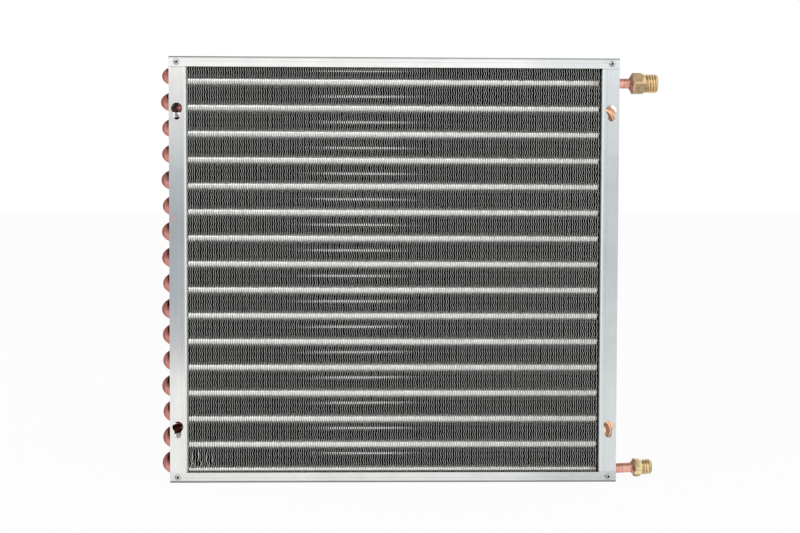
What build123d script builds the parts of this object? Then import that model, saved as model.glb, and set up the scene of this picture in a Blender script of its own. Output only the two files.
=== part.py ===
from build123d import *

import os
from math import cos, radians, sin, sqrt

# A finned-tube condenser coil: two staggered rows of copper tube through a block of thin
# aluminium fins, in a casing of four folded and riveted strips of galvanised sheet.
# The refrigerant enters at the upper fitting, runs to and fro through every tube and
# leaves at the lower fitting.
#
# Millimetres. The origin is the centre of the casing's underside, +X runs along the tubes
# towards the fittings, -Y is the front and +Z is up.

# Casing
casing_width = 437.2
sheet = 1.2
bend_inner_radius = 0.8
channel_lip = 10.0
side_flange = 17.1
end_plate_gap = 1.0

# Tube pattern, tubes counted from the top
tube_pitch = 25.4
row_spacing = 22.0
back_hairpins = 8

# Copper tube
tube_diameter = 9.52
tube_wall = 0.4
tube_hole_clearance = 0.15
hairpin_stand = 0.2
bell_start = 0.5
bell_flare = 0.5
bell_length = 5.5
bell_wall = 0.4
bell_clearance = 0.06

# Return bends at the left
bend_wall = 0.5
bend_insertion = 4.6
bend_straight = 1.75
bend_play = 0.7
bend_play_step = 2.3

# Filler metal round each joint
braze_length = 0.9
braze_gap = 0.04
braze_foot = 0.42
braze_tip = 0.15

# Fins
fin_thickness = 0.15
fin_pitch = 2.245
fin_left_gap = 0.6
fin_right_gap = 2.3
fin_face_gap = 2.0
fin_end_gap = 4.3

# Keyholes in the side flanges
keyhole_radius = 5.4
keyhole_slot_width = 6.6
keyhole_reach = 11.0
keyhole_inset = 7.6
keyhole_from_top = 50.2
keyhole_from_bottom = 54.9

# Blind rivets
rivet_inset_x = 7.6
rivet_inset_z = 5.6
rivet_radius = 1.6
rivet_hole_clearance = 0.05
rivet_head_radius = 3.0
rivet_head_height = 1.0
rivet_rim_height = 0.25
rivet_bulb_radius = 2.3
rivet_bulb_length = 2.6
rivet_recess_radius = 1.0
rivet_recess_depth = 2.2
rivet_curve_steps = 6

# Inlet fitting, a brass union with a flare thread
inlet_reach = 11.7
inlet_mouth_radius = 5.6
inlet_hex_across = 20.2
inlet_hex_length = 15.0
inlet_hex_cone = 3.3
inlet_shoulder_length = 5.4
inlet_neck_length = 0.6
inlet_thread_radius = 9.45
inlet_thread_length = 10.3
inlet_seat_length = 1.3
inlet_bore_radius = 4.0

# Outlet fitting, one size smaller, on a stub that leans a little upwards
outlet_reach = 17.4
outlet_mouth_radius = 5.4
outlet_hex_across = 17.0
outlet_hex_length = 9.9
outlet_hex_cone = 2.9
outlet_shoulder_length = 3.6
outlet_neck_length = 0.5
outlet_thread_radius = 7.9
outlet_thread_length = 7.4
outlet_seat_length = 2.2
outlet_bore_radius = 3.8
outlet_lean = 2.4
outlet_lean_start = 1.5
outlet_bend_radius = 60.0

# Both fittings
neck_depth = 1.1
shoulder_step = 0.7
socket_depth = 8.0
socket_clearance = 0.06
socket_floor_gap = 0.3

# Worked out from the sizes above
tube_radius = tube_diameter / 2
half_width = casing_width / 2
web_face = half_width - side_flange
web_back = web_face + sheet
tubes_per_row = 2 * back_hairpins
fin_height = tube_pitch * tubes_per_row
fin_depth = 2 * row_spacing
casing_height = fin_height + 2 * fin_end_gap
plate_depth = fin_depth + 2 * fin_face_gap
channel_depth = plate_depth + 2 * sheet
plate_bottom = sheet + end_plate_gap
plate_height = casing_height - 2 * plate_bottom
bell_bore = tube_radius + bell_clearance
bell_mouth = web_back + bell_start + bell_flare + bell_length

front_row = -row_spacing / 2
back_row = row_spacing / 2
lowest_tube = fin_end_gap + tube_pitch / 4


def front_tube(number):
    """Centre of a front tube, as (y, z)."""
    return front_row, lowest_tube + (tubes_per_row - number) * tube_pitch


def back_tube(number):
    """Centre of a back tube, half a pitch above the front tube of the same number."""
    return back_row, front_tube(number)[1] + tube_pitch / 2


all_tubes = [place(number) for place in (front_tube, back_tube) for number in range(1, tubes_per_row + 1)]


def folded_channel(across, leg, length):
    """A strip folded to a U. The web lies on the local XZ plane and the legs rise along +Y."""
    outer = Pos(0, leg / 2) * Rectangle(across, leg)
    outer = fillet(outer.vertices().sort_by(Axis.Y)[:2], bend_inner_radius + sheet)
    inner = Pos(0, (leg + sheet) / 2) * Rectangle(across - 2 * sheet, leg - sheet)
    inner = fillet(inner.vertices().sort_by(Axis.Y)[:2], bend_inner_radius)
    return extrude(outer - inner, length)


def bored_along_y(x, z, radius):
    """A cutter along Y through the whole casing."""
    return Pos(x, 0, z) * Rot(90, 0, 0) * Cylinder(radius, 2 * channel_depth)


def rivet_places(side):
    """The two rivet centres at one side of the casing, as (x, z)."""
    x = side * (half_width - rivet_inset_x)
    return [(x, rivet_inset_z), (x, casing_height - rivet_inset_z)]


def rivet_cutters(side):
    """Holes for the front and rear rivets at one side."""
    return [bored_along_y(x, z, rivet_radius + rivet_hole_clearance) for x, z in rivet_places(side)]


def keyhole_cutter(x, z):
    """A round hole with a narrower slot that hangs below it, through both flanges."""
    slot_end = keyhole_reach - keyhole_slot_width / 2
    shape = Circle(keyhole_radius)
    shape += Pos(0, -slot_end / 2) * Rectangle(keyhole_slot_width, slot_end)
    shape += Pos(0, -slot_end) * Circle(keyhole_slot_width / 2)
    plane = Plane(origin=(x, channel_depth, z), x_dir=(1, 0, 0), z_dir=(0, -1, 0))
    return extrude(plane * shape, 2 * channel_depth)


def make_channel(base_z, leg_sign):
    """The top or bottom channel, full width, with its lips over the end plates' flanges."""
    plane = Plane(origin=(-half_width, 0, base_z), x_dir=(0, leg_sign, 0), z_dir=(1, 0, 0))
    channel = plane * folded_channel(channel_depth, channel_lip, casing_width)
    for side in (-1, 1):
        channel -= rivet_cutters(side)
    return channel


def make_end_plate(side):
    """A tube sheet: the web carries every tube and the two flanges turn outwards."""
    plane = Plane(origin=(side * web_face, 0, plate_bottom), x_dir=(0, -side, 0), z_dir=(0, 0, 1))
    plate = plane * folded_channel(plate_depth, side_flange, plate_height)
    hole = tube_radius + tube_hole_clearance
    plate -= [Pos(side * web_face, y, z) * Rot(0, 90, 0) * Cylinder(hole, 4 * sheet) for y, z in all_tubes]
    x = side * (half_width - keyhole_inset)
    for z in (keyhole_from_bottom, casing_height - keyhole_from_top):
        plate -= keyhole_cutter(x, z)
    return plate - rivet_cutters(side)


def make_fin(x):
    """One plain fin. The tubes are expanded into it and fill its holes."""
    return Pos(x, 0, casing_height / 2) * Box(fin_thickness, fin_depth, fin_height)


def fin_places():
    """Centres of the fins, from the left end plate to the right one."""
    run = 2 * web_face - fin_left_gap - fin_right_gap - fin_thickness
    first = -web_face + fin_left_gap + fin_thickness / 2
    return [first + number * fin_pitch for number in range(int(run / fin_pitch) + 1)]


def tube_section(wall):
    """The cross-section of a tube."""
    return Circle(tube_radius) - Circle(tube_radius - wall)


def swept_tube(path):
    """A tube of the coil's own wall along a path."""
    start = Plane(origin=path @ 0, z_dir=path % 0)
    return sweep(start * tube_section(tube_wall), path)


def turned(profile):
    """A body of revolution about the X axis from its half profile, points of (x, radius)."""
    return revolve(make_face(Polyline(*profile, close=True)), Axis.X)


def u_tube(leg, far, side, wall):
    """Two legs along X, from the origin and from far, joined by a half circle that swells to the side."""
    y, z = far
    ring = Plane.YZ * tube_section(wall)
    hinge = Axis((0, y / 2, z / 2), (0, -side * z, side * y))
    straight = extrude(ring, -side * leg)
    return straight + revolve(ring, hinge, 180) + Pos(0, y, z) * straight


def make_bell():
    """The widened left end of a tube, which takes a return bend."""
    start = -web_back - bell_start
    wide = start - bell_flare
    inner = tube_radius - tube_wall
    profile = [
        (start, inner),
        (start, tube_radius),
        (wide, bell_bore + bell_wall),
        (-bell_mouth, bell_bore + bell_wall),
        (-bell_mouth, bell_bore),
        (wide, bell_bore),
    ]
    return turned(profile)


def make_hairpin():
    """One long tube bent into a U at the right and belled at the left, its upper leg on the X axis."""
    turn_x = web_back + hairpin_stand
    tube = u_tube(turn_x + web_back + bell_start, (0, -tube_pitch), 1, tube_wall)
    return Pos(turn_x, 0, 0) * tube + make_bell() + Pos(0, 0, -tube_pitch) * make_bell()


def make_return_bend():
    """A short U from a front tube to the back tube above it. Its half circle begins at the origin."""
    return u_tube(bend_straight + bend_insertion, (row_spacing, tube_pitch / 2), -1, bend_wall)


def return_bend_x(number):
    """Where a return bend's half circle begins. Each bend sits a little differently in its bells."""
    return -bell_mouth - bend_straight + bend_play * sin(bend_play_step * number)


def make_braze_ring():
    """Filler round a tube, from the mouth at x = 0 along -X."""
    inner = tube_radius + braze_gap
    return turned([
        (0, inner),
        (0, tube_radius + braze_foot),
        (-braze_length, inner + braze_tip),
        (-braze_length, inner),
    ])


def on_outlet_axis(distance):
    """The place and lean of a point on the outlet stub, given its distance beyond the lean's start."""
    y, z = front_tube(tubes_per_row)
    lean = radians(outlet_lean)
    x = web_back + outlet_lean_start + distance * cos(lean)
    return Pos(x, y, z + distance * sin(lean)) * Rot(0, -outlet_lean, 0)


inlet_x = half_width + inlet_reach
outlet_mouth = half_width + outlet_reach - web_back - outlet_lean_start
tube_in_socket = socket_depth - socket_floor_gap


def make_inlet_tube():
    """The top front tube, straight from its bell to the inlet fitting's socket."""
    y, z = front_tube(1)
    path = Line((-web_back - bell_start, y, z), (inlet_x + tube_in_socket, y, z))
    return swept_tube(path) + Pos(0, y, z) * make_bell()


def make_outlet_tube():
    """The bottom front tube, which leans upwards once it has left the end plate."""
    y, z = front_tube(tubes_per_row)
    end = on_outlet_axis(outlet_mouth + tube_in_socket).position
    corner = (web_back + outlet_lean_start, y, z)
    path = FilletPolyline((-web_back - bell_start, y, z), corner, end, radius=outlet_bend_radius)
    return swept_tube(path) + Pos(0, y, z) * make_bell()


def make_fitting(mouth, across, hex_length, cone, shoulder, neck, thread, thread_length, seat, bore):
    """A brass union along +X from its socket's mouth: hexagon, shoulder, neck, thread and flare seat."""
    corner = across / sqrt(3)
    neck_radius = thread - neck_depth
    thread_start = hex_length + neck
    seat_start = thread_start + thread_length
    end = seat_start + seat
    limit = turned([
        (0, 0),
        (0, mouth),
        (cone, corner),
        (hex_length - shoulder, corner),
        (hex_length, neck_radius + shoulder_step),
        (hex_length, 0),
    ])
    prism = Plane.YZ * RegularPolygon(corner, 6)
    body = limit & extrude(prism, hex_length)
    body += turned([
        (hex_length / 2, 0),
        (hex_length / 2, neck_radius),
        (thread_start, neck_radius),
        (thread_start + neck_depth / 2, thread),
        (seat_start, thread),
        (end, thread - seat),
        (end, 0),
    ])
    socket = tube_radius + socket_clearance
    return body - turned([(0, 0), (0, socket), (socket_depth, socket), (socket_depth, bore), (end, bore), (end, 0)])


def make_inlet_fitting():
    fitting = make_fitting(
        inlet_mouth_radius,
        inlet_hex_across,
        inlet_hex_length,
        inlet_hex_cone,
        inlet_shoulder_length,
        inlet_neck_length,
        inlet_thread_radius,
        inlet_thread_length,
        inlet_seat_length,
        inlet_bore_radius,
    )
    return Pos(inlet_x, *front_tube(1)) * fitting


def make_outlet_fitting():
    fitting = make_fitting(
        outlet_mouth_radius,
        outlet_hex_across,
        outlet_hex_length,
        outlet_hex_cone,
        outlet_shoulder_length,
        outlet_neck_length,
        outlet_thread_radius,
        outlet_thread_length,
        outlet_seat_length,
        outlet_bore_radius,
    )
    return on_outlet_axis(outlet_mouth) * fitting


def make_rivet():
    """A blind rivet along +X: bulb behind the sheets, domed head with the mandrel's recess in front."""
    grip = 2 * sheet
    dome_fall = rivet_head_height - rivet_rim_height
    dome_reach = rivet_head_radius - rivet_recess_radius
    bulb_fall = rivet_bulb_radius - rivet_radius
    recess = rivet_head_height - rivet_recess_depth
    dome = []
    bulb = []
    for number in range(rivet_curve_steps + 1):
        step = number / rivet_curve_steps
        dome.append((rivet_head_height - dome_fall * step**2, rivet_recess_radius + dome_reach * step))
        bulb.append((-grip - rivet_bulb_length * step, rivet_bulb_radius - bulb_fall * step**2))
    return turned([
        (recess, 0),
        (recess, rivet_recess_radius),
        *dome,
        (0, rivet_head_radius),
        (0, rivet_radius),
        (-grip, rivet_radius),
        *bulb,
        (-grip - rivet_bulb_length, 0),
    ])


def make_rivets():
    """Eight rivets, front and rear at each corner of the casing."""
    rivets = []
    for side in (-1, 1):
        for x, z in rivet_places(side):
            for face in (-1, 1):
                outwards = Location((x, face * channel_depth / 2, z), (0, 0, face * 90))
                rivets.append(outwards * make_rivet())
    return rivets


def make_braze_rings():
    """Filler at the bells' mouths and at the fittings' sockets."""
    ring = make_braze_ring()
    rings = [Pos(-bell_mouth, y, z) * ring for y, z in all_tubes]
    rings.append(Pos(inlet_x, *front_tube(1)) * ring)
    rings.append(on_outlet_axis(outlet_mouth) * ring)
    return rings


def save(node, *shapes):
    """Writes one node, with every solid that the shapes hold."""
    solids = [solid for shape in shapes for solid in shape.solids()]
    export_step(solids[0] if len(solids) == 1 else Compound(children=solids), f"parts/{node}.step")


os.makedirs("parts", exist_ok=True)

save("top_channel", make_channel(casing_height, -1))
save("bottom_channel", make_channel(0, 1))
save("left_end_plate", make_end_plate(-1))
save("right_end_plate", make_end_plate(1))
save("corner_rivets", *make_rivets())
save("fins", *[make_fin(x) for x in fin_places()])

save("inlet_tube", make_inlet_tube())
save("outlet_tube", make_outlet_tube())
hairpin = make_hairpin()
for number in range(1, back_hairpins):
    save(f"front_hairpin_{number}", Pos(0, *front_tube(2 * number)) * hairpin)
for number in range(1, back_hairpins + 1):
    save(f"back_hairpin_{number}", Pos(0, *back_tube(2 * number - 1)) * hairpin)
return_bend = make_return_bend()
for number in range(1, tubes_per_row + 1):
    save(f"return_bend_{number}", Pos(return_bend_x(number), *front_tube(number)) * return_bend)
save("braze_rings", *make_braze_rings())

save("inlet_fitting", make_inlet_fitting())
save("outlet_fitting", make_outlet_fitting())
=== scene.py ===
import math
import random

import bmesh
import bpy
import numpy as np
from mathutils import Matrix, Vector


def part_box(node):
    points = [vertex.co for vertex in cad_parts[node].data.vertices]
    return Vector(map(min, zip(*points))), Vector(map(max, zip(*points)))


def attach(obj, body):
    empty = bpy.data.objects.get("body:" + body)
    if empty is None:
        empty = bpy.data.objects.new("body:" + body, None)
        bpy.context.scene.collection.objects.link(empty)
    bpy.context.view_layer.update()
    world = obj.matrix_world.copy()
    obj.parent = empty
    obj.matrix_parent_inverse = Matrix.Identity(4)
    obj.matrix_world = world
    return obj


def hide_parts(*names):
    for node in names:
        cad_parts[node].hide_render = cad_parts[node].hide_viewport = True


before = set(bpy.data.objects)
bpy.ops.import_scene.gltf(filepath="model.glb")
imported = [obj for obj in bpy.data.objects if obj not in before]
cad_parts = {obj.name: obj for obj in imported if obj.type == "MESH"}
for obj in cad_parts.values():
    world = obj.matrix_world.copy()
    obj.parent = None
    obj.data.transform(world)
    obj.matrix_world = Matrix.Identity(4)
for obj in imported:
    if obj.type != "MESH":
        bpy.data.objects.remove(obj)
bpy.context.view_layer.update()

# The finned block, the threads and every finish of a condenser coil, built round the packed
# frame. Sizes are in millimetres, in the frame's own axes: +X along the tubes towards the
# fittings, -Y the front, +Z up. Meshes are turned into metres when they are made. Lamps and
# their places are in metres.

MILLIMETRE = 0.001

# The coil
ROW_Y = 11.0
TUBE_PITCH = 25.4
TUBES_PER_ROW = 16
LOWEST_TUBE = 10.65
TOP_TUBE = LOWEST_TUBE + (TUBES_PER_ROW - 1) * TUBE_PITCH
TUBE_RADIUS = 4.76
CASING_HEIGHT = 415.0
CASING_HALF_WIDTH = 218.6
WEB_FACE = 201.5

# Fins. The edge is drawn thicker than the foil, as its ripples and burr make it look.
FIN_COUNT = 179
FIN_THICKNESS = 0.15
EDGE_THICKNESS = 0.26
FIN_PIECES = 3
FIN_COLUMNS = 8

# The ripples along both edges. A trough or crest keeps off the fin's two ends.
RIPPLES_PER_PITCH = 4
RIPPLE_SWING = 0.44
SWING_VARIATION = (0.8, 1.15)
RIPPLE_DEPTH = 3.5
RIPPLE_FIRST_CREST = 4.7
RIPPLE_END_MARGIN = 0.5

# How far fins stray from their places, over what lengths, and how they are held at their ends
FIN_WANDER = 0.16
WANDER_LENGTHS = (22, 60)
FIN_OFFSET = 0.06
HELD_REACH = 12
HELD_SHARE = 0.2
CORE_SHARE = 0.3

# Collars round the tubes
COLLAR_RADIUS = 5.55
COLLAR_GAP = 0.02
COLLAR_STEPS = 28

# Parts whose faces meet at a smaller angle than this look smooth, in degrees.
SMOOTH_BELOW = 40
UNION_SMOOTH_BELOW = 22

# Camera, as fitted to the photograph
CAMERA_PLACE = (-34.716, -1454.89, 277.948)
CAMERA_YAW = -0.028
CAMERA_PITCH = 0.046
CAMERA_ROLL = 0.003
LENS = 66.15
SENSOR = 36.0
CLIP_RANGE = (0.01, 100)

rng = random.Random(7)


def box_mm(node):
    """Lowest and highest corner of a CAD node, in millimetres."""
    low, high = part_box(node)
    return low / MILLIMETRE, high / MILLIMETRE


def make_piece(name, vertices, faces, material, smooth_degrees=None):
    """A mesh object from points in millimetres. Faces are lists of point numbers."""
    mesh = bpy.data.meshes.new(name)
    mesh.from_pydata((np.asarray(vertices, float) * MILLIMETRE).tolist(), [], faces)
    mesh.validate()
    if smooth_degrees is not None:
        smooth(mesh, smooth_degrees)
    mesh.materials.append(material)
    mesh.update()
    piece = bpy.data.objects.new(name, mesh)
    bpy.context.scene.collection.objects.link(piece)
    return piece


def smooth(mesh, degrees):
    """Shades a mesh smooth, apart from edges sharper than that angle."""
    mesh.polygons.foreach_set("use_smooth", [True] * len(mesh.polygons))
    mesh.set_sharp_from_angle(angle=math.radians(degrees))


# Noise keeps mostly between these two values.
NOISE_SPAN = (0.3, 0.7)


class Nodes:
    """Adds nodes to a node tree. A value is a constant or another node's output."""

    def __init__(self, tree):
        self.tree = tree

    def feed(self, socket, value):
        """Gives a socket a constant or another node's output."""
        if isinstance(value, bpy.types.NodeSocket):
            self.tree.links.new(value, socket)
        else:
            socket.default_value = value

    def math(self, operation, *values):
        """What a math operation makes of the values."""
        node = self.tree.nodes.new("ShaderNodeMath")
        node.operation = operation
        for socket, value in zip(node.inputs, values):
            self.feed(socket, value)
        return node.outputs[0]

    def plus(self, first, second):
        return self.math("ADD", first, second)

    def minus(self, first, second):
        return self.math("SUBTRACT", first, second)

    def times(self, first, second):
        return self.math("MULTIPLY", first, second)

    def off(self, value, level):
        """How far a value is from a level, either way."""
        return self.math("ABSOLUTE", self.minus(value, level))

    def length(self, first, second):
        """The length of a line with these two parts at right angles."""
        squares = self.math("POWER", first, 2.0), self.math("POWER", second, 2.0)
        return self.math("SQRT", self.plus(*squares))

    def spread(self, value, low, high, low_out=0.0, high_out=1.0):
        """Maps low..high to low_out..high_out, held at the ends."""
        node = self.tree.nodes.new("ShaderNodeMapRange")
        for socket, number in zip(node.inputs, (value, low, high, low_out, high_out)):
            self.feed(socket, number)
        return node.outputs[0]


class Paint(Nodes):
    """Builds one procedural material. Places are the frame's own, in millimetres."""

    def __init__(self, name):
        self.material = bpy.data.materials.new(name)
        self.material.use_nodes = True
        super().__init__(self.material.node_tree)
        self.shader = self.tree.nodes["Principled BSDF"]
        coordinates = self.tree.nodes.new("ShaderNodeTexCoord")
        scaled = self.tree.nodes.new("ShaderNodeVectorMath")
        scaled.operation = "SCALE"
        scaled.inputs["Scale"].default_value = 1 / MILLIMETRE
        self.tree.links.new(coordinates.outputs["Object"], scaled.inputs[0])
        self.place = scaled.outputs[0]
        split = self.tree.nodes.new("ShaderNodeSeparateXYZ")
        self.tree.links.new(self.place, split.inputs[0])
        self.x, self.y, self.z = split.outputs

    def stretched(self, stretch):
        """The place, multiplied axis by axis."""
        node = self.tree.nodes.new("ShaderNodeVectorMath")
        node.operation = "MULTIPLY"
        self.feed(node.inputs[0], self.place)
        node.inputs[1].default_value = stretch
        return node.outputs[0]

    def noise(self, size, stretch=(1, 1, 1), detail=3.0, roughness=0.5):
        """Soft noise from 0 to 1 whose features are about size millimetres across."""
        node = self.tree.nodes.new("ShaderNodeTexNoise")
        node.inputs["Scale"].default_value = 1 / size
        node.inputs["Detail"].default_value = detail
        node.inputs["Roughness"].default_value = roughness
        self.feed(node.inputs["Vector"], self.stretched(stretch))
        return node.outputs["Fac"]

    def varied(self, low, high, size, **texture):
        """A value that noise of that size moves between low and high."""
        return self.spread(self.noise(size, **texture), *NOISE_SPAN, low, high)

    def cells(self, size):
        """A flat random value from 0 to 1 for each crystal of about that size."""
        node = self.tree.nodes.new("ShaderNodeTexVoronoi")
        node.inputs["Scale"].default_value = 1 / size
        self.feed(node.inputs["Vector"], self.place)
        split = self.tree.nodes.new("ShaderNodeSeparateColor")
        self.feed(split.inputs[0], node.outputs["Color"])
        return split.outputs[0]

    def ramp(self, value, stops):
        """A colour that changes with value. Stops are (position, colour)."""
        node = self.tree.nodes.new("ShaderNodeValToRGB")
        elements = node.color_ramp.elements
        while len(elements) < len(stops):
            elements.new(0.5)
        for element, (position, colour) in zip(elements, stops):
            element.position = position
            element.color = (*colour, 1)
        self.feed(node.inputs[0], value)
        return node.outputs[0]

    def mix(self, share, first, second):
        """The first colour, with that share of the second."""
        node = self.tree.nodes.new("ShaderNodeMix")
        node.data_type = "RGBA"
        self.feed(node.inputs[0], share)
        for socket, value in zip(node.inputs[6:8], (first, second)):
            self.feed(socket, value if isinstance(value, bpy.types.NodeSocket) else (*value, 1))
        return node.outputs[2]

    def shade(self, colour, factor):
        """The colour times a grey factor."""
        node = self.tree.nodes.new("ShaderNodeVectorMath")
        node.operation = "SCALE"
        self.feed(node.inputs[0], colour)
        self.feed(node.inputs["Scale"], factor)
        return node.outputs[0]

    def near(self, centre, radius, fade):
        """1 within the radius of a point, falling to 0 over the fade."""
        node = self.tree.nodes.new("ShaderNodeVectorMath")
        node.operation = "DISTANCE"
        self.feed(node.inputs[0], self.place)
        node.inputs[1].default_value = centre
        return self.spread(node.outputs["Value"], radius, radius + fade, 1.0, 0.0)

    def marked(self, colour, marks):
        """The colour with round marks of (centre, radius, fade, colour) on it."""
        for centre, radius, fade, mark in marks:
            colour = self.mix(self.near(centre, radius, fade), colour, mark)
        return colour

    def bump(self, height, depth):
        """Relief of up to depth millimetres from a height of 0 to 1."""
        node = self.tree.nodes.new("ShaderNodeBump")
        node.inputs["Distance"].default_value = depth * MILLIMETRE
        self.feed(node.inputs["Height"], height)
        self.feed(self.shader.inputs["Normal"], node.outputs[0])

    def finish(self, colour, metallic, roughness):
        """The material, with these on its shader."""
        self.feed(self.shader.inputs["Base Color"], colour)
        self.feed(self.shader.inputs["Metallic"], metallic)
        self.feed(self.shader.inputs["Roughness"], roughness)
        return self.material


# Finishes. A pair of colours is what noise moves between.

FOIL_TINTS = ((0.72, 0.745, 0.70), (0.755, 0.755, 0.735))
# Painted shade for the fins' deep insides
FIN_SHADE = (0.036, 0.039, 0.034)
# Painted shade on the back collars
BACK_COLLAR_SHADE = (0.05, 0.05, 0.05)
COLLAR_FOIL = (0.98, 0.975, 0.96)
COLLAR_SEAM = (0.55, 0.54, 0.53)
COLLAR_BURNT = (0.42, 0.24, 0.15)
CLEAN_COPPER = ((0.88, 0.49, 0.40), (0.82, 0.42, 0.33))
DULLED_COPPER = ((0.71, 0.34, 0.32), (0.52, 0.19, 0.155))
COPPER_EDGE_TINT = (0.7, 0.45, 0.4)
COPPER_PATCHES = (0.36, 0.12, 0.09)
# Heat tint from brazing, with painted shade, on the bends
HEATED_AND_SHADED_COPPER = (0.10, 0.024, 0.022)
HAIRPIN_COPPER = (0.92, 0.56, 0.36)
# Painted shade on the tubes before the right end plate
SHADED_GAP_COPPER = (0.03, 0.02, 0.018)
STUB_SEAM = (0.28, 0.12, 0.07)
# Painted shade on the stubs' undersides
STUB_UNDERSIDE_SHADE = (0.40, 0.13, 0.10)
BRAZE_TINTS = ((0.55, 0.38, 0.28), (0.30, 0.20, 0.17))
BRASS_MOTTLE = (0.46, 0.27, 0.14)
THREAD_ROOT_TONE = (0.22, 0.13, 0.06)
MOUTH_FILLER = (0.80, 0.42, 0.34)
RIVET_TINTS = ((0.66, 0.66, 0.66), (0.54, 0.54, 0.54))
# Painted shadow round the rivets' heads
RIM_SHADOW = (0.13, 0.13, 0.13)
RIVET_CENTRE = (0.008, 0.008, 0.008)

# Galvanised sheet: what its rolled grain multiplies each axis by, along x or along z. Its scratches
# multiply x and z once more, which draws them out further.
GRAIN_X = (0.02, 1.0, 1.0)
GRAIN_Z = (1.0, 1.0, 0.02)
SCRATCH_STRETCH = 0.35
ZINC_METALLIC = 0.75

# How far in from a channel's edge its fold carries painted shade, between which depths its lip begins, and
# where the line on its lip is. An end plate's painted highlight and line are so far out from its web.
FOLD_SHADE_WIDTH = 1.3
FOLD_FADE = 1.2
LIP_DEPTHS = (22.5, 24.0)
LIP_LINE = 4.9
PLATE_HIGHLIGHT = (2.0, 2.7)
PLATE_LINE = 5.2

# Where the foil is left bright, free of painted shade: in depth along its edges, and round the tubes on their
# outer sides
BRIGHT_EDGE = (21.3, 21.95)
BRIGHT_ROUND_TUBE = (5.0, 6.3)
BRIGHT_OUTWARDS = (9.0, 12.0)

# How far from its middle line a back collar stays free of painted shade
BACK_COLLAR_BRIGHT = (1.3, 2.3)

# A paint that ends at the casing fades over this width.
PAINT_FADE = 1.0

# Brazing reddened the bends, and painted shade darkens them, out to a line that leans with the
# depth. Their outermost rims carry painted shade.
HEAT_AND_SHADE_LEAN = 0.75
HEAT_AND_SHADE_REACH = (25.5, 20.5)
RIM_REACH = (24.2, 22.6)
RIM_SHADE = 0.6

# Two round marks on the joint behind the upper left keyhole: a near-black one, then a red one.
JOINT_DEPTH = -14.5
JOINT_HEIGHT = TOP_TUBE - TUBE_PITCH
KEYHOLE_JOINT_MARKS = [((-215.5, JOINT_DEPTH, JOINT_HEIGHT), 3.6, 1.2, (0.045, 0.045, 0.035)),
                  ((-208.2, JOINT_DEPTH, JOINT_HEIGHT), 2.2, 1.6, (0.42, 0.11, 0.12))]

# The stubs: where each one's copper changes along x, and how far below its axis painted shade darkens it
OUTLET_SEAM = 226.5
INLET_SEAM = 225.0
SEAM_HALF_WIDTHS = (0.25, 0.7)
UNDERSIDE_SHADE = (-4.4, -1.8)

# Rivets
RIVET_X = CASING_HALF_WIDTH - 7.6
RIVET_INSET_Z = 5.6
RIM_RADIUS = 2.5
RIM_HALF_WIDTHS = (0.25, 0.7)
RIVET_HOLE = (1.15, 1.4)

# Each channel's colour from left to right, and each end plate's from bottom to top, with painted light and
# shade
TOP_LIGHT_STOPS = [
    (0.0, (0.75, 0.75, 0.735)),
    (0.2, (0.79, 0.79, 0.775)),
    (0.45, (0.83, 0.83, 0.81)),
    (0.75, (0.86, 0.86, 0.85)),
    (0.85, (0.71, 0.73, 0.74)),
    (1.0, (0.68, 0.71, 0.72)),
]
BOTTOM_LIGHT_STOPS = [
    (0.0, (0.74, 0.74, 0.72)),
    (0.2, (0.80, 0.80, 0.78)),
    (0.5, (0.74, 0.75, 0.73)),
    (0.75, (0.72, 0.73, 0.72)),
    (0.88, (0.565, 0.595, 0.595)),
    (1.0, (0.57, 0.60, 0.60)),
]
LEFT_LIGHT_STOPS = [
    (0.0, (0.82, 0.82, 0.80)),
    (0.22, (0.80, 0.80, 0.78)),
    (0.33, (0.49, 0.50, 0.51)),
    (0.44, (0.395, 0.42, 0.44)),
    (0.60, (0.365, 0.39, 0.41)),
    (0.72, (0.42, 0.455, 0.47)),
    (0.80, (0.54, 0.56, 0.56)),
    (0.90, (0.64, 0.65, 0.64)),
    (1.0, (0.77, 0.77, 0.75)),
]
RIGHT_LIGHT_STOPS = [
    (0.0, (0.69, 0.72, 0.72)),
    (0.25, (0.60, 0.64, 0.64)),
    (0.55, (0.47, 0.505, 0.515)),
    (0.75, (0.52, 0.555, 0.565)),
    (1.0, (0.65, 0.68, 0.70)),
]
# Painted shade at the channels' folds, at the left and at the right
TOP_FOLD_SHADE = (0.36, 0.70)
BOTTOM_FOLD_SHADE = (0.19, 0.38)
# Painted highlight along the end plates' folds
LEFT_HIGHLIGHT = (0.72, 0.74, 0.72)
RIGHT_HIGHLIGHT = (0.70, 0.73, 0.73)

# Single marks on the sheets
LIP_FACE = -25.2
FLANGE_FACE = -24.0
UPPER_PILOT = ((RIVET_X - 6.1, LIP_FACE, CASING_HEIGHT - 3.8), 0.2, 0.5, (0.30, 0.30, 0.31))
LOWER_PILOT = ((RIVET_X - 3.3, LIP_FACE, 6.2), 0.4, 0.5, (0.10, 0.06, 0.06))
RED_MARK = ((-213.1, FLANGE_FACE, 258.0), 0.9, 1.4, (0.62, 0.30, 0.30))
RIGHT_SMUDGE = ((WEB_FACE, -12.0, LOWEST_TUBE), 3.0, 5.0, (0.45, 0.24, 0.2))


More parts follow.
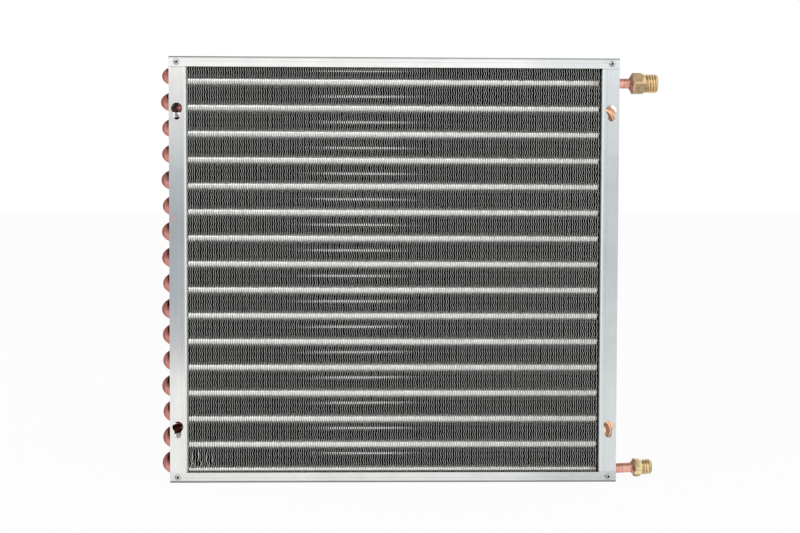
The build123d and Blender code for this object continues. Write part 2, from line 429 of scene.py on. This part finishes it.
def zinc_sheet(name, grain, place, stops):
    """A paint for galvanised sheet and its colour, which the stops change along the place with painted light
    and shade.
    """
    paint = Paint(name)
    # Painted light and shade along the sheet, from the stops
    colour = paint.ramp(place(paint), stops)
    crystals = paint.spread(paint.cells(9.0), 0.0, 1.0, 0.975, 1.02)
    clouds = paint.varied(0.96, 1.03, 45.0, detail=4.0)
    rolled = paint.varied(0.955, 1.03, 1.1, stretch=grain, detail=4.0, roughness=0.65)
    colour = paint.shade(colour, paint.times(paint.times(crystals, clouds), rolled))
    longer = (grain[0] * SCRATCH_STRETCH, grain[1], grain[2] * SCRATCH_STRETCH)
    paint.bump(paint.noise(0.7, longer, detail=5.0, roughness=0.8), 0.05)
    return paint, colour


def zinc_finish(paint, colour, marks):
    """The finished sheet, with its marks."""
    return paint.finish(paint.marked(colour, marks), ZINC_METALLIC, paint.varied(0.36, 0.5, 14.0))


def along_width(paint):
    """0 at the casing's left side, 1 at its right."""
    return paint.spread(paint.x, -CASING_HALF_WIDTH, CASING_HALF_WIDTH)


def up_height(paint):
    """0 at the casing's underside, 1 at its top."""
    return paint.spread(paint.z, 0.0, CASING_HEIGHT)


def make_channel_paint(name, stops, edge, inwards, fold_shades, marks):
    """A channel's finish. Rolling left a faint line along its lip, and its fold at z = edge carries
    painted shade, of one strength at the left and another at the right."""
    paint, colour = zinc_sheet(name, GRAIN_X, along_width, stops)
    inside = paint.times(paint.minus(paint.z, edge), inwards)
    on_lip = paint.spread(paint.math("ABSOLUTE", paint.y), *LIP_DEPTHS)
    # Painted shade along the fold of the lip
    dull = paint.times(on_lip, paint.spread(inside, FOLD_SHADE_WIDTH, FOLD_SHADE_WIDTH + FOLD_FADE, 1.0, 0.0))
    fold_shade = paint.spread(paint.x, -CASING_HALF_WIDTH, CASING_HALF_WIDTH, *fold_shades)
    colour = paint.shade(colour, paint.spread(dull, 0.0, 1.0, 1.0, fold_shade))
    colour = paint.shade(colour, paint.spread(paint.off(inside, LIP_LINE), 0.2, 0.7, 0.88, 1.0))
    return zinc_finish(paint, colour, marks)


def make_plate_paint(name, stops, highlight, marks):
    """An end plate's finish, with a painted highlight along its folds."""
    paint, colour = zinc_sheet(name, GRAIN_Z, up_height, stops)
    inside = paint.minus(paint.math("ABSOLUTE", paint.x), WEB_FACE)
    # A painted highlight along the fold at the flange's inner edge
    colour = paint.mix(paint.spread(inside, *PLATE_HIGHLIGHT, 1.0, 0.0), colour, highlight)
    colour = paint.shade(colour, paint.spread(paint.off(inside, PLATE_LINE), 0.15, 0.6, 0.9, 1.0))
    return zinc_finish(paint, colour, marks)


def make_fin_paint():
    """Mill aluminium, bright along both edges and round the tubes, with painted shade elsewhere."""
    paint = Paint("fin_foil")
    paint.shader.inputs["Specular IOR Level"].default_value = 0.0
    depth = paint.math("ABSOLUTE", paint.y)
    off_front = paint.math("PINGPONG", paint.minus(paint.z, LOWEST_TUBE), TUBE_PITCH / 2)
    off_back = paint.minus(TUBE_PITCH / 2, off_front)
    behind = paint.math("GREATER_THAN", paint.y, 0.0)
    off_tube = paint.plus(paint.times(behind, off_back), paint.times(paint.minus(1.0, behind), off_front))
    round_tube = paint.spread(off_tube, *BRIGHT_ROUND_TUBE, 1.0, 0.0)
    outwards = paint.spread(depth, *BRIGHT_OUTWARDS)
    clean = paint.math("MAXIMUM", paint.spread(depth, *BRIGHT_EDGE), paint.times(round_tube, outwards))
    streak = paint.varied(0.85, 1.1, 2.2, stretch=(1, 1, 0.2), detail=4.0)
    tint = paint.mix(paint.noise(60.0, detail=2.0), *FOIL_TINTS)
    # Away from its bright parts the foil is painted dark, as painted shade for the depth between the fins.
    colour = paint.mix(clean, FIN_SHADE, paint.shade(tint, streak))
    return paint.finish(colour, clean, paint.spread(clean, 0.0, 1.0, 0.9, 0.3))


def make_collar_paint():
    """The fins' drawn collars, which cover each tube, with a dull seam at every fin. The back
    row's carry painted shade apart from their middle lines."""
    paint = Paint("collar_foil")
    low, high = box_mm("fins")
    pitch = (high.x - low.x - FIN_THICKNESS) / (FIN_COUNT - 1)
    turn = paint.math("DIVIDE", paint.minus(paint.x, low.x + FIN_THICKNESS / 2), pitch)
    seam = paint.spread(paint.off(paint.math("FRACT", turn), 0.5), 0.2, 0.45)
    colour = paint.mix(seam, COLLAR_FOIL, COLLAR_SEAM)
    colour = paint.shade(colour, paint.varied(0.93, 1.02, 16.0, detail=4.0))
    for height in (TOP_TUBE, LOWEST_TUBE):
        burnt = paint.near((WEB_FACE - 5.0, -ROW_Y - 3.0, height), 1.5, 5.0)
        colour = paint.mix(paint.times(burnt, 0.65), colour, COLLAR_BURNT)
    paint.bump(seam, 0.12)
    behind = paint.math("GREATER_THAN", paint.y, 0.0)
    rise = paint.minus(paint.z, LOWEST_TUBE + TUBE_PITCH / 2)
    off_middle = paint.math("PINGPONG", rise, TUBE_PITCH / 2)
    # Painted shade on the back collars, all but a bright middle line
    back_shade = paint.times(behind, paint.spread(off_middle, *BACK_COLLAR_BRIGHT, 0.0, 0.95))
    colour = paint.mix(back_shade, colour, BACK_COLLAR_SHADE)
    rough = paint.times(paint.varied(0.2, 0.32, 5.0), paint.spread(behind, 0.0, 1.0, 1.0, 0.35))
    return paint.finish(colour, 1.0, rough)


def past_casing(paint, within, outside):
    """One value up to the casing's right side and another past it."""
    return paint.spread(paint.x, CASING_HALF_WIDTH - PAINT_FADE, CASING_HALF_WIDTH, within, outside)


def make_copper_paint():
    """Drawn copper, pink at the fittings, browner at the bends and dark red from brazing's heat, with painted
    shade on the bends, on the tubes just inside the right end plate and on the stubs' undersides.
    """
    paint = Paint("drawn_copper")
    paint.shader.inputs["Specular Tint"].default_value = (*COPPER_EDGE_TINT, 1)
    at_bends = paint.spread(paint.x, -WEB_FACE - PAINT_FADE, -WEB_FACE, 1.0, 0.0)
    clean = paint.mix(paint.noise(20.0, detail=4.0), *CLEAN_COPPER)
    dulled = paint.mix(paint.noise(14.0, detail=4.0), *DULLED_COPPER)
    drawn = paint.varied(0.9, 1.05, 0.8, stretch=(0.08, 1, 1), detail=4.0)
    colour = paint.shade(paint.mix(at_bends, clean, dulled), drawn)
    patch = paint.spread(paint.noise(9.0, detail=5.0, roughness=0.6), 0.5, 0.68)
    colour = paint.mix(paint.times(patch, 0.4), colour, COPPER_PATCHES)

    # Dark red near the casing and towards the back: partly brazing's heat tint, partly painted shade.
    reach = paint.plus(paint.x, paint.times(paint.y, HEAT_AND_SHADE_LEAN))
    heated_and_shaded = paint.spread(reach, *(-WEB_FACE - limit for limit in HEAT_AND_SHADE_REACH))
    colour = paint.mix(paint.times(paint.times(heated_and_shaded, at_bends), 0.93), colour, HEATED_AND_SHADED_COPPER)
    # Painted shade on the bends' outermost rims
    rim = paint.spread(paint.x, *(-WEB_FACE - limit for limit in RIM_REACH), RIM_SHADE, 1.0)
    colour = paint.marked(paint.shade(colour, rim), KEYHOLE_JOINT_MARKS)

    at_hairpins = paint.times(paint.spread(paint.x, WEB_FACE, WEB_FACE + PAINT_FADE),
                              past_casing(paint, 1.0, 0.0))
    colour = paint.mix(paint.times(at_hairpins, 0.85), colour, HAIRPIN_COPPER)
    # Painted shade on the tubes between the last fin and the right end plate's web
    shaded_before_web = paint.times(paint.spread(paint.x, WEB_FACE - 3.5, WEB_FACE - 2.5),
                             paint.spread(paint.x, WEB_FACE, WEB_FACE + 0.5, 1.0, 0.0))
    colour = paint.mix(shaded_before_web, colour, SHADED_GAP_COPPER)

    high = paint.math("GREATER_THAN", paint.z, CASING_HEIGHT / 2)
    seam = paint.plus(OUTLET_SEAM, paint.times(high, INLET_SEAM - OUTLET_SEAM))
    at_seam = paint.times(paint.spread(paint.off(paint.x, seam), *SEAM_HALF_WIDTHS, 0.55, 0.0),
                          paint.spread(paint.noise(3.0), 0.35, 0.6, 0.3, 1.0))
    colour = paint.mix(at_seam, colour, STUB_SEAM)
    above_axis = paint.minus(paint.minus(paint.z, LOWEST_TUBE), paint.times(high, TOP_TUBE - LOWEST_TUBE))
    # Painted shade along the stubs' undersides, outside the casing
    shaded_under = paint.times(paint.spread(above_axis, *UNDERSIDE_SHADE, 0.45, 0.0), past_casing(paint, 0.0, 1.0))
    colour = paint.mix(shaded_under, colour, STUB_UNDERSIDE_SHADE)

    paint.bump(paint.noise(1.6), 0.02)
    rough = paint.times(paint.varied(0.16, 0.32, 7.0), past_casing(paint, 1.0, 0.6))
    return paint.finish(colour, 1.0, rough)


def make_braze_paint():
    """Brazing filler, dull and mottled from the heat."""
    paint = Paint("braze_filler")
    colour = paint.mix(paint.noise(1.5, detail=4.0), *BRAZE_TINTS)
    paint.bump(paint.noise(0.8), 0.08)
    return paint.finish(colour, 0.9, 0.45)


def make_brass_paint(size):
    """Turned brass, with painted shade underneath, darker in its thread's roots, and browned at its mouth,
    the brazed end.
    """
    paint = Paint(f"{size['node']}_brass")
    mouth = size["place"]
    along = paint.minus(paint.x, mouth.x)
    up = paint.minus(paint.minus(paint.z, mouth.z), paint.times(along, math.tan(size["lean"])))
    radius = paint.length(up, paint.plus(paint.y, ROW_Y))
    colour = paint.mix(paint.noise(6.0, detail=4.0), *size["tints"])
    colour = paint.shade(colour, paint.varied(0.88, 1.05, 0.35, stretch=(1, 0.02, 0.02)))
    mottled = paint.spread(paint.noise(3.2, detail=5.0, roughness=0.6), 0.47, 0.6, 0.0, 0.5)
    colour = paint.mix(mottled, colour, BRASS_MOTTLE)

    # Painted shade on the lower side, left out of the thread
    shaded_under = paint.spread(up, size["shaded_below"] - 2.0, size["shaded_below"], 0.5, 1.0)
    in_thread = paint.math("GREATER_THAN", along, size["hex"] + size["neck"])
    colour = paint.shade(colour, paint.math("MAXIMUM", shaded_under, in_thread))
    # Darker in the thread's roots
    root = paint.spread(radius, size["thread"] - THREAD_DEPTH + 0.1, size["thread"] - 0.4, 0.6, 0.0)
    colour = paint.mix(paint.times(root, in_thread), colour, THREAD_ROOT_TONE)

    ragged = paint.plus(along, paint.varied(-1.6, 1.2, 4.0, detail=4.0))
    browned = paint.spread(ragged, size["cone"] * 0.92, size["cone"] * 1.4, 0.85, 0.0)
    colour = paint.mix(browned, colour, size["browned"])
    colour = paint.mix(paint.spread(along, 0.9, 1.5, 0.9, 0.0), colour, MOUTH_FILLER)
    paint.bump(paint.noise(0.4, (1, 0.05, 0.05)), 0.015)
    rough = paint.math("MAXIMUM", paint.varied(0.14, 0.28, 3.0), paint.times(browned, 0.55))
    return paint.finish(colour, 1.0, rough)


def make_rivet_paint():
    """Aluminium rivets, with a painted shadow round the rim that is strongest at the left, and the mandrel's
    dark stub.
    """
    paint = Paint("rivet_aluminium")
    colour = paint.mix(paint.noise(1.5), *RIVET_TINTS)
    middle = CASING_HEIGHT / 2
    across = paint.minus(paint.math("ABSOLUTE", paint.x), RIVET_X)
    up = paint.minus(paint.off(paint.z, middle), middle - RIVET_INSET_Z)
    off_centre = paint.length(across, up)
    off_right = paint.minus(paint.x, paint.times(paint.math("SIGN", paint.x), RIVET_X))
    rim = paint.spread(paint.off(off_centre, RIM_RADIUS), *RIM_HALF_WIDTHS, 1.0, 0.0)
    # A painted shadow of the head round its rim, strongest at the left
    rim_shadow = paint.times(rim, paint.spread(off_right, -RIM_RADIUS, RIM_RADIUS, 0.9, 0.25))
    colour = paint.mix(rim_shadow, colour, RIM_SHADOW)
    colour = paint.mix(paint.spread(off_centre, *RIVET_HOLE, 1.0, 0.0), colour, RIVET_CENTRE)
    paint.bump(paint.noise(0.9), 0.03)
    return paint.finish(colour, 0.7, 0.4)


copper = make_copper_paint()
paints = {
    "top_channel": make_channel_paint("zinc_top", TOP_LIGHT_STOPS, CASING_HEIGHT, -1, TOP_FOLD_SHADE, [UPPER_PILOT]),
    "bottom_channel": make_channel_paint("zinc_bottom", BOTTOM_LIGHT_STOPS, 0.0, 1, BOTTOM_FOLD_SHADE, [LOWER_PILOT]),
    "left_end_plate": make_plate_paint("zinc_left", LEFT_LIGHT_STOPS, LEFT_HIGHLIGHT, [RED_MARK]),
    "right_end_plate": make_plate_paint("zinc_right", RIGHT_LIGHT_STOPS, RIGHT_HIGHLIGHT, [RIGHT_SMUDGE]),
    "corner_rivets": make_rivet_paint(),
    "braze_rings": make_braze_paint(),
}
for node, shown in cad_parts.items():
    shown.data.materials.clear()
    shown.data.materials.append(paints.get(node, copper))


# The fins

# Fins knocked over at the front's lower left: number of the fin, height, reach and shift.
# A knocked edge lies over and so shows wider by this share of its shift.
BENT_FINS = [(1, 19.0, 2.6, 0.7), (2, 25.5, 3.0, -0.8), (3, 17.5, 2.4, -0.7), (4, 27.0, 4.0, 0.8),
             (5, 18.0, 2.2, 0.8), (8, 24.0, 3.5, -0.8), (9, 17.0, 2.0, -0.7), (10, 22.5, 2.6, 0.6)]
BENT_WIDENING = 0.55


def fin_places():
    """Every fin's middle along x."""
    low, high = box_mm("fins")
    half = FIN_THICKNESS / 2
    return np.linspace(low.x + half, high.x - half, FIN_COUNT)


def fin_heights():
    """Heights of the ripples' crests and troughs, with the fin's two ends."""
    low, high = box_mm("fins")
    half_wave = TUBE_PITCH / RIPPLES_PER_PITCH / 2
    first = TOP_TUBE - RIPPLE_FIRST_CREST
    most = math.ceil(high.z / half_wave)
    heights = [first - step * half_wave for step in range(-most, most)]
    inside = [z for z in heights if low.z + RIPPLE_END_MARGIN < z < high.z - RIPPLE_END_MARGIN]
    return np.array([low.z, *sorted(inside), high.z])


def ripple(heights):
    """Sideways shift of the rippled edge, 1 at a crest and -1 at a trough."""
    wave = TUBE_PITCH / RIPPLES_PER_PITCH
    return np.cos(2 * math.pi * (TOP_TUBE - RIPPLE_FIRST_CREST - heights) / wave)


def fin_mesh(number, x, heights):
    """Points of one fin, a thin closed plate that is rippled along its front and rear edges."""
    low, high = box_mm("fins")
    depths = (low.y, low.y + RIPPLE_DEPTH, high.y - RIPPLE_DEPTH, high.y)
    wave = ripple(heights) * (RIPPLE_SWING * rng.uniform(*SWING_VARIATION))
    phase = rng.uniform(0, 2 * math.pi)
    wander = FIN_WANDER * np.sin(heights / rng.uniform(*WANDER_LENGTHS) + phase)
    wander += rng.uniform(-FIN_OFFSET, FIN_OFFSET)
    held_below = np.clip((heights - low.z) / HELD_REACH, HELD_SHARE, 1)
    held_above = np.clip((high.z - heights) / HELD_REACH, HELD_SHARE, 1)
    wander *= held_below * held_above
    knocked = np.zeros(len(heights))
    for bent, height, reach, shift in BENT_FINS:
        if bent == number:
            knocked = shift * np.exp(-(((heights - height) / reach) ** 2))
    core = wander * CORE_SHARE
    shifts = (wave + wander + knocked, core, core, wave + wander)
    front_edge = EDGE_THICKNESS + np.abs(knocked) * BENT_WIDENING
    thicknesses = (front_edge, FIN_THICKNESS, FIN_THICKNESS, EDGE_THICKNESS)
    columns = []
    for side in (-0.5, 0.5):
        for depth, shift, thickness in zip(depths, shifts, thicknesses):
            points = np.empty((len(heights), 3))
            points[:, 0] = x + side * thickness + shift
            points[:, 1] = depth
            points[:, 2] = heights
            columns.append(points)
    return np.concatenate(columns)


def fin_faces(rows):
    """The sides and the two ends of one fin with so many heights. Columns 0-3 are its left face
    and 4-7 its right."""
    def at(column, row):
        return column * rows + row

    sides = []
    for a, b in [(1, 0), (2, 1), (3, 2), (4, 5), (5, 6), (6, 7), (0, 4), (7, 3)]:
        for row in range(rows - 1):
            sides.append([at(a, row), at(b, row), at(b, row + 1), at(a, row + 1)])
    bottom = [at(column, 0) for column in (0, 1, 2, 3, 7, 6, 5, 4)]
    top = [at(column, rows - 1) for column in (4, 5, 6, 7, 3, 2, 1, 0)]
    return np.array(sides), [bottom, top]


def make_fins(material):
    """All fins, in a few pieces from left to right."""
    heights = fin_heights()
    places = list(enumerate(fin_places()))
    sides, ends = fin_faces(len(heights))
    share = math.ceil(FIN_COUNT / FIN_PIECES)
    for piece in range(FIN_PIECES):
        vertices, faces = [], []
        for count, (number, x) in enumerate(places[piece * share:(piece + 1) * share]):
            offset = count * len(heights) * FIN_COLUMNS
            vertices.append(fin_mesh(number, x, heights))
            faces.extend((sides + offset).tolist())
            faces.extend([[v + offset for v in end] for end in ends])
        made = make_piece(f"fins_{piece + 1}", np.concatenate(vertices), faces, material, SMOOTH_BELOW)
        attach(made, "root")
        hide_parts("fins")


def tube_rows():
    """Each row's name, its y and the heights of its tubes."""
    for row, y, rise in (("front", -ROW_Y, 0.0), ("back", ROW_Y, TUBE_PITCH / 2)):
        yield row, y, [LOWEST_TUBE + rise + k * TUBE_PITCH for k in range(TUBES_PER_ROW)]


def revolved(profile, centre, steps):
    """Points and faces of a closed ring-shaped solid turned about X. Profile is (x, radius)."""
    angles = np.arange(steps) * 2 * math.pi / steps
    x, radius = np.array(profile).T
    points = np.empty((len(profile), steps, 3))
    points[..., 0] = x[:, None] + centre[0]
    points[..., 1] = radius[:, None] * np.cos(angles) + centre[1]
    points[..., 2] = radius[:, None] * np.sin(angles) + centre[2]
    faces = []
    for k in range(len(profile)):
        following = (k + 1) % len(profile)
        for s in range(steps):
            t = (s + 1) % steps
            faces.append([k * steps + s, following * steps + s, following * steps + t, k * steps + t])
    return points.reshape(-1, 3), faces


def joined(parts):
    """Several (points, faces) as one."""
    vertices, faces, offset = [], [], 0
    for points, own in parts:
        vertices.append(points)
        faces.extend([[v + offset for v in face] for face in own])
        offset += len(points)
    return np.concatenate(vertices), faces


def make_collars(material):
    """The sleeves that the fins' collars make round the tubes."""
    low, high = box_mm("fins")
    inner = TUBE_RADIUS + COLLAR_GAP
    profile = [(low.x, inner), (high.x, inner), (high.x, COLLAR_RADIUS), (low.x, COLLAR_RADIUS)]
    for row, y, heights in tube_rows():
        vertices, faces = joined([revolved(profile, (0.0, y, z), COLLAR_STEPS) for z in heights])
        made = make_piece(f"{row}_collars", vertices, faces, material, SMOOTH_BELOW)
        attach(made, "root")


make_fins(make_fin_paint())
make_collars(make_collar_paint())


# The two unions. Each one's sizes run from its socket's mouth, where the stub goes in, and its
# place is the mouth's. The outlet's stub leans up from where it leaves the casing.

OUTLET_LEAN = math.radians(2.4)
LEAN_START = WEB_FACE + 2.7
INLET_REACH = 11.7
OUTLET_REACH = 17.4
INLET_PLACE = Vector((CASING_HALF_WIDTH + INLET_REACH, -ROW_Y, TOP_TUBE))
LEANING_LENGTH = CASING_HALF_WIDTH + OUTLET_REACH - LEAN_START
OUTLET_PLACE = Vector((LEAN_START + LEANING_LENGTH * math.cos(OUTLET_LEAN), -ROW_Y,
                       LOWEST_TUBE + LEANING_LENGTH * math.sin(OUTLET_LEAN)))
INLET = {
    "node": "inlet_fitting", "lean": 0.0, "place": INLET_PLACE,
    "mouth": 5.6, "across": 20.2, "hex": 15.0, "cone": 3.3, "shoulder": 5.4,
    "neck": 0.6, "thread": 9.45, "thread_length": 10.3, "seat": 1.3, "bore": 4.0, "pitch": 2.6,
    "shaded_below": 0.5, "tints": ((0.97, 0.76, 0.43), (0.82, 0.59, 0.31)),
    "browned": (0.72, 0.47, 0.36),
}
OUTLET = {
    "node": "outlet_fitting", "lean": OUTLET_LEAN, "place": OUTLET_PLACE,
    "mouth": 5.4, "across": 17.0, "hex": 9.9, "cone": 2.9, "shoulder": 3.6,
    "neck": 0.5, "thread": 7.9, "thread_length": 7.4, "seat": 2.2, "bore": 3.8, "pitch": 2.6,
    "shaded_below": -5.0, "tints": ((0.96, 0.84, 0.50), (0.86, 0.69, 0.38)),
    "browned": (0.29, 0.185, 0.145),
}
HEX_STEPS = 96
SHOULDER_STEP = 0.7
SOCKET_RADIUS = TUBE_RADIUS + 0.06
SOCKET_DEPTH = 8.0
CORNER_ROUNDING = 0.25
NECK_DEPTH = 1.1
BORE_CHAMFER = 0.3

# The thread's depth and where its root ends and its crest begins and ends, in turns, and over how
# many turns it rises from the neck
THREAD_DEPTH = 0.8
ROOT_END = 0.16
CREST_START = 0.5
CREST_END = 0.66
THREAD_LEAD = 0.6

# Points of a union that are closer than this are one, in metres.
SAME_POINT = 1e-7


def union_mesh(size):
    """Points and faces of a union along +X from its socket's mouth, thread cut as a true helix."""
    angles = np.arange(HEX_STEPS) * 2 * math.pi / HEX_STEPS
    corner = size["across"] / math.sqrt(3)
    sector = (angles % (math.pi / 3)) - math.pi / 6
    flat = np.minimum(size["across"] / 2 / np.cos(sector), corner - CORNER_ROUNDING)
    slope = (corner - size["mouth"]) / size["cone"]
    neck = size["thread"] - NECK_DEPTH
    rear_radius = neck + SHOULDER_STEP
    rear_slope = (corner - rear_radius) / size["shoulder"]
    hex_end = size["hex"]
    rings = [
        (np.full(HEX_STEPS, 0.0), np.full(HEX_STEPS, size["mouth"])),
        ((flat - size["mouth"]) / slope, flat),
        (hex_end - np.maximum(flat - rear_radius, 0) / rear_slope, flat),
        (np.full(HEX_STEPS, hex_end), np.minimum(flat, rear_radius)),
        (np.full(HEX_STEPS, hex_end), np.full(HEX_STEPS, neck)),
    ]

    start = hex_end + size["neck"]
    end = start + size["thread_length"]
    tip = end + size["seat"]
    pitch = size["pitch"]
    crest = size["thread"]
    root = crest - THREAD_DEPTH
    form = [(0.0, root), (ROOT_END, root), (CREST_START, crest), (CREST_END, crest)]
    first_thread = len(rings)
    for turn in range(-2, int((tip - start) / pitch) + 3):
        for share, radius in form:
            x = start + (turn + share + angles / (2 * math.pi)) * pitch
            lead = np.clip((x - start) / (pitch * THREAD_LEAD), 0, 1)
            radius = neck + (radius - neck) * lead
            radius = np.minimum(radius, np.where(x > end, crest - (x - end), np.inf))
            radius = np.where(x < start, neck, radius)
            radius = np.where(x >= tip, crest - size["seat"], radius)
            rings.append((np.clip(x, start, tip), radius))
    last_thread = len(rings) - 1

    for x, radius in (
        (tip, size["bore"] + BORE_CHAMFER),
        (tip - BORE_CHAMFER, size["bore"]),
        (SOCKET_DEPTH, size["bore"]),
        (SOCKET_DEPTH, SOCKET_RADIUS),
        (0.0, SOCKET_RADIUS),
    ):
        rings.append((np.full(HEX_STEPS, x), np.full(HEX_STEPS, radius)))
    points = np.array([
        np.column_stack([x, radius * np.cos(angles), radius * np.sin(angles)]) for x, radius in rings
    ])

    def wrapped(ring):
        """The ring that meets this one where the helix has gone once round."""
        return min(ring + len(form), last_thread) if first_thread <= ring <= last_thread else ring

    faces = []
    for ring in range(len(rings)):
        after = (ring + 1) % len(rings)
        for step in range(HEX_STEPS - 1):
            corners = (ring, step), (after, step), (after, step + 1), (ring, step + 1)
            faces.append([r * HEX_STEPS + s for r, s in corners])
        corners = (ring, HEX_STEPS - 1), (after, HEX_STEPS - 1), (wrapped(after), 0), (wrapped(ring), 0)
        faces.append([r * HEX_STEPS + s for r, s in corners])
    return points.reshape(-1, 3), faces


def make_union(size):
    """A union in its place, where it stands for the fitting's node."""
    node = size["node"]
    points, faces = union_mesh(size)
    turn = Matrix.Rotation(-size["lean"], 3, "Y")
    placed = points @ np.array(turn).T + np.array(size["place"])
    made = make_piece(node.replace("fitting", "union"), placed, faces, make_brass_paint(size))
    work = bmesh.new()
    work.from_mesh(made.data)
    bmesh.ops.remove_doubles(work, verts=work.verts, dist=SAME_POINT)
    bmesh.ops.dissolve_degenerate(work, edges=work.edges, dist=SAME_POINT)
    bmesh.ops.recalc_face_normals(work, faces=work.faces)
    work.to_mesh(made.data)
    work.free()
    smooth(made.data, UNION_SMOOTH_BELOW)
    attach(made, "root")
    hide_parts(node)


for size in (INLET, OUTLET):
    make_union(size)


# Floor, lamps and camera

# What the camera and reflections see of the studio: white all round, duller overhead. What lights
# dull surfaces is less even: it rises towards the front. Each range is two values of the
# direction, its z or its share of LIGHT_FRONT, and the strength at each.
SEEN_RANGE = (0.6, 0.98, 1.0, 0.42)
LIGHT_RANGE = (-0.3, 0.6, 0.3, 0.9)
LIGHT_FRONT = Vector((-0.12, -0.9, 0.42)).normalized()

FLOOR_REACH = 30000.0
FLOOR_DROP = 0.3
FLOOR_WHITE = (0.9, 0.9, 0.9)
FLOOR_ROUGHNESS = 0.9
FLOOR_GLOW = 0.94
SHADE_SHEET = (0.014, 0.015, 0.014)

# Lamps, in metres and watts: name, place and power
LAMPS = [("key", (-0.9, -1.6, 1.6), 14), ("fill", (1.2, -1.8, 0.5), 3)]
LAMP_TARGET = (0, 0, 0.2)
LAMP_SIZE = 1.2


def seen_rays(nodes):
    """1 for rays that show a background: camera, glossy and transmission rays."""
    path = nodes.tree.nodes.new("ShaderNodeLightPath")
    total = path.outputs["Is Camera Ray"]
    for name in ("Is Glossy Ray", "Is Transmission Ray"):
        total = nodes.math("MAXIMUM", total, path.outputs[name])
    return total


def plain_material(name, colour):
    """A material of one colour, and its shader."""
    material = bpy.data.materials.new(name)
    material.use_nodes = True
    shader = material.node_tree.nodes["Principled BSDF"]
    shader.inputs["Base Color"].default_value = (*colour, 1)
    return material, shader


def make_floor():
    """A white floor, which looks lit as the studio does to the rays that show a background."""
    material, shader = plain_material("floor_white", FLOOR_WHITE)
    shader.inputs["Roughness"].default_value = FLOOR_ROUGHNESS
    nodes = Nodes(material.node_tree)
    glow = nodes.tree.nodes.new("ShaderNodeEmission")
    mix = nodes.tree.nodes.new("ShaderNodeMixShader")
    nodes.feed(mix.inputs[0], nodes.times(seen_rays(nodes), FLOOR_GLOW))
    nodes.feed(mix.inputs[1], shader.outputs[0])
    nodes.feed(mix.inputs[2], glow.outputs[0])
    nodes.feed(nodes.tree.nodes["Material Output"].inputs[0], mix.outputs[0])
    sides = [(-1, -1), (1, -1), (1, 1), (-1, 1)]
    corners = [(x * FLOOR_REACH, y * FLOOR_REACH, -FLOOR_DROP) for x, y in sides]
    return make_piece("floor", corners, [[0, 1, 2, 3]], material)


def make_shade_sheet():
    """A dark sheet inside the block, painted shade for the table in the coil's own shadow that the coil lay
    on.
    """
    low, high = box_mm("fins")
    corners = [(low.x, ROW_Y, low.z), (high.x, ROW_Y, low.z), (high.x, ROW_Y, high.z), (low.x, ROW_Y, high.z)]
    material, shader = plain_material("shade_sheet", SHADE_SHEET)
    shader.inputs["Specular IOR Level"].default_value = 0.0
    sheet = make_piece("shade_sheet", corners, [[0, 1, 2, 3]], material)
    sheet.visible_shadow = False
    sheet.visible_diffuse = False
    return sheet


def make_world():
    """A soft studio, as described above."""
    world = bpy.data.worlds.new("studio")
    world.use_nodes = True
    nodes = Nodes(world.node_tree)
    direction = nodes.tree.nodes.new("ShaderNodeTexCoord").outputs["Generated"]
    split = nodes.tree.nodes.new("ShaderNodeSeparateXYZ")
    nodes.feed(split.inputs[0], direction)
    aim = nodes.tree.nodes.new("ShaderNodeVectorMath")
    aim.operation = "DOT_PRODUCT"
    aim.inputs[1].default_value = LIGHT_FRONT
    nodes.feed(aim.inputs[0], direction)
    mix = nodes.tree.nodes.new("ShaderNodeMix")
    nodes.feed(mix.inputs[0], seen_rays(nodes))
    nodes.feed(mix.inputs[2], nodes.spread(aim.outputs["Value"], *LIGHT_RANGE))
    nodes.feed(mix.inputs[3], nodes.spread(split.outputs[2], *SEEN_RANGE))
    background = nodes.tree.nodes["Background"]
    background.inputs["Color"].default_value = (1, 1, 1, 1)
    nodes.feed(background.inputs["Strength"], mix.outputs[0])
    bpy.context.scene.world = world


def make_lamp(name, place, power):
    """A square area lamp that looks at the coil."""
    lamp = bpy.data.lights.new(name, "AREA")
    lamp.shape = "SQUARE"
    lamp.size = LAMP_SIZE
    lamp.energy = power
    made = bpy.data.objects.new(name, lamp)
    made.location = place
    made.rotation_mode = "QUATERNION"
    made.rotation_quaternion = (Vector(LAMP_TARGET) - Vector(place)).to_track_quat("-Z", "Y")
    bpy.context.scene.collection.objects.link(made)


def make_camera():
    """The photograph's camera: its axes are turned by yaw, then pitch, then roll."""
    cos_y, sin_y = math.cos(CAMERA_YAW), math.sin(CAMERA_YAW)
    cos_p, sin_p = math.cos(CAMERA_PITCH), math.sin(CAMERA_PITCH)
    cos_r, sin_r = math.cos(CAMERA_ROLL), math.sin(CAMERA_ROLL)
    yaw = Matrix(((cos_y, 0, sin_y), (0, 1, 0), (-sin_y, 0, cos_y)))
    pitch = Matrix(((1, 0, 0), (0, cos_p, -sin_p), (0, sin_p, cos_p)))
    roll = Matrix(((cos_r, -sin_r, 0), (sin_r, cos_r, 0), (0, 0, 1)))
    square_on = Matrix(((1, 0, 0), (0, 0, -1), (0, 1, 0)))
    right, down, forward = roll @ pitch @ yaw @ square_on
    axes = Matrix((right, -down, -forward)).transposed()
    data = bpy.data.cameras.new("camera")
    data.sensor_width = SENSOR
    data.lens = LENS
    data.clip_start, data.clip_end = CLIP_RANGE
    camera = bpy.data.objects.new("camera", data)
    camera.matrix_world = Matrix.Translation(Vector(CAMERA_PLACE) * MILLIMETRE) @ axes.to_4x4()
    bpy.context.scene.collection.objects.link(camera)
    bpy.context.scene.camera = camera


floor = make_floor()
sheet = make_shade_sheet()
make_world()
for name, place, power in LAMPS:
    make_lamp(name, place, power)
make_camera()
bpy.context.scene.view_settings.view_transform = "Standard"
